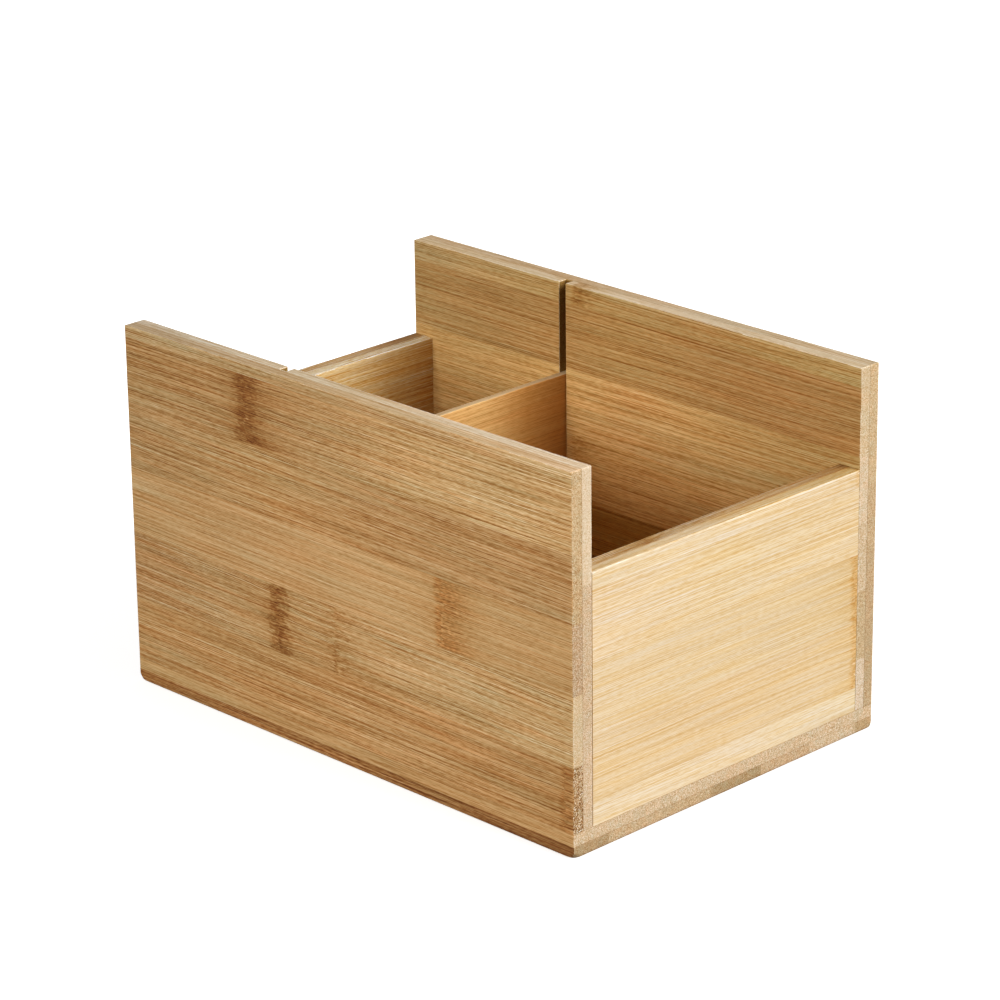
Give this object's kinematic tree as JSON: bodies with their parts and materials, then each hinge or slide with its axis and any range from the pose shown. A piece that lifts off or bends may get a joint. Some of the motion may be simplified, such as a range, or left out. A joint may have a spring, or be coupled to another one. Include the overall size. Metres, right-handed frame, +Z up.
{
  "type": "storage organiser",
  "caption": "Open-topped bamboo tabletop organiser with tall sides, low ends and a lift-out divider that stands in a pair of grooves.",
  "frame": {"origin": "centre of the footprint, on the surface the organiser stands on", "axes": "+X along the long side, towards the end with the larger compartment; +Y towards the right-hand side panel; +Z up"},
  "size_m": [0.24, 0.164, 0.148],
  "materials": {
    "bamboo_side_panel": "satin",
    "bamboo_end_panel": "satin",
    "bamboo_base_board": "satin",
    "bamboo_divider": "satin",
    "dowel_bamboo": "matte"
  },
  "bodies": {
    "box": {"base_board_lower_ply": "bamboo_base_board", "base_board_upper_ply": "bamboo_base_board", "side_panel_left_outer_ply": "bamboo_side_panel", "side_panel_left_inner_ply": "bamboo_side_panel", "side_panel_right_outer_ply": "bamboo_side_panel", "side_panel_right_inner_ply": "bamboo_side_panel", "end_panel_front_outer_ply": "bamboo_end_panel", "end_panel_front_inner_ply": "bamboo_end_panel", "end_panel_back_outer_ply": "bamboo_end_panel", "end_panel_back_inner_ply": "bamboo_end_panel", "dowel_base_to_left_side_1": "dowel_bamboo", "dowel_base_to_left_side_2": "dowel_bamboo", "dowel_base_to_left_side_3": "dowel_bamboo", "dowel_base_to_right_side_1": "dowel_bamboo", "dowel_base_to_right_side_2": "dowel_bamboo", "dowel_base_to_right_side_3": "dowel_bamboo", "dowel_base_to_front_end_1": "dowel_bamboo", "dowel_base_to_front_end_2": "dowel_bamboo", "dowel_base_to_back_end_1": "dowel_bamboo", "dowel_base_to_back_end_2": "dowel_bamboo", "dowel_front_left_corner_lower": "dowel_bamboo", "dowel_front_left_corner_upper": "dowel_bamboo", "dowel_front_right_corner_lower": "dowel_bamboo", "dowel_front_right_corner_upper": "dowel_bamboo", "dowel_back_left_corner_lower": "dowel_bamboo", "dowel_back_left_corner_upper": "dowel_bamboo", "dowel_back_right_corner_lower": "dowel_bamboo", "dowel_back_right_corner_upper": "dowel_bamboo"},
    "divider": {"divider_panel": "bamboo_divider"}
  },
  "joints": [
    {"name": "divider_lift", "type": "slide", "parent": "box", "child": "divider", "axis": [0, 0, 1], "range_m": [0, 0.145]}
  ]
}
